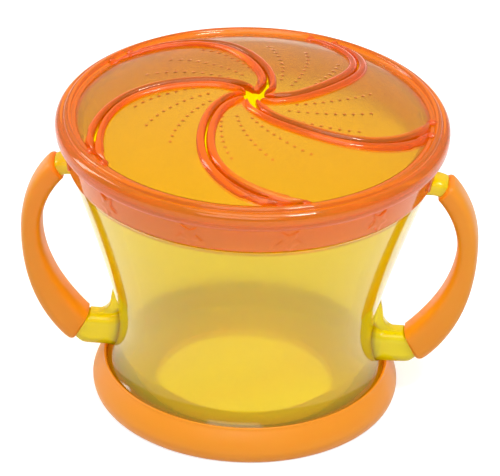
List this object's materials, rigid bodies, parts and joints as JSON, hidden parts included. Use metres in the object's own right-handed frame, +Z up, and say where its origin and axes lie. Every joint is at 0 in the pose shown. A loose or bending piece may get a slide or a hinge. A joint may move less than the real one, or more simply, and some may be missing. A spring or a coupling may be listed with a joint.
{
  "type": "toddler snack container",
  "caption": "Two-handled translucent cup with soft grips and foot ring, and a push-on lid whose domed soft membrane is cut into spiral flaps.",
  "frame": {"origin": "centre of the foot ring's flat underside, on the table", "axes": "+Z up along the cup's axis, X through both handles, Y across them"},
  "size_m": [0.1174, 0.1, 0.0861],
  "materials": {
    "cup_plastic": "clear moulded polypropylene, polished",
    "lid_plastic": "clear moulded polypropylene, polished",
    "membrane": "clear soft thermoplastic elastomer, glossy",
    "soft_orange": "overmoulded thermoplastic elastomer, satin"
  },
  "bodies": {
    "cup_body": {"cup": "cup_plastic", "base_ring": "soft_orange", "grip_left": "soft_orange", "grip_right": "soft_orange"},
    "lid_body": {"lid_ring": "lid_plastic", "flap_border": "membrane"},
    "flap_body_1": {"flap_1": "membrane"},
    "flap_body_2": {"flap_2": "membrane"},
    "flap_body_3": {"flap_3": "membrane"},
    "flap_body_4": {"flap_4": "membrane"},
    "flap_body_5": {"flap_5": "membrane"}
  },
  "joints": [
    {"name": "lid_lift", "type": "slide", "parent": "cup_body", "child": "lid_body", "axis": [0, 0, 1], "range_m": [0, 0.04]},
    {"name": "flap_1_bend", "type": "hinge", "parent": "lid_body", "child": "flap_body_1", "pos_m": [-0.02382, -0.02294, 0.08121], "axis": [-0.9413, 0.3167, -0.117], "range_deg": [0, 45], "stiffness_Nm_per_rad": 0.03},
    {"name": "flap_2_bend", "type": "hinge", "parent": "lid_body", "child": "flap_body_2", "pos_m": [0.01446, -0.02975, 0.08121], "axis": [-0.5921, -0.7973, -0.117], "range_deg": [0, 45], "stiffness_Nm_per_rad": 0.03},
    {"name": "flap_3_bend", "type": "hinge", "parent": "lid_body", "child": "flap_body_3", "pos_m": [0.03276, 0.00456, 0.08121], "axis": [0.5754, -0.8095, -0.117], "range_deg": [0, 45], "stiffness_Nm_per_rad": 0.03},
    {"name": "flap_4_bend", "type": "hinge", "parent": "lid_body", "child": "flap_body_4", "pos_m": [0.00579, 0.03257, 0.08121], "axis": [0.9477, 0.2971, -0.117], "range_deg": [0, 45], "stiffness_Nm_per_rad": 0.03},
    {"name": "flap_5_bend", "type": "hinge", "parent": "lid_body", "child": "flap_body_5", "pos_m": [-0.02918, 0.01557, 0.08121], "axis": [0.0103, 0.9931, -0.117], "range_deg": [0, 45], "stiffness_Nm_per_rad": 0.03}
  ]
}
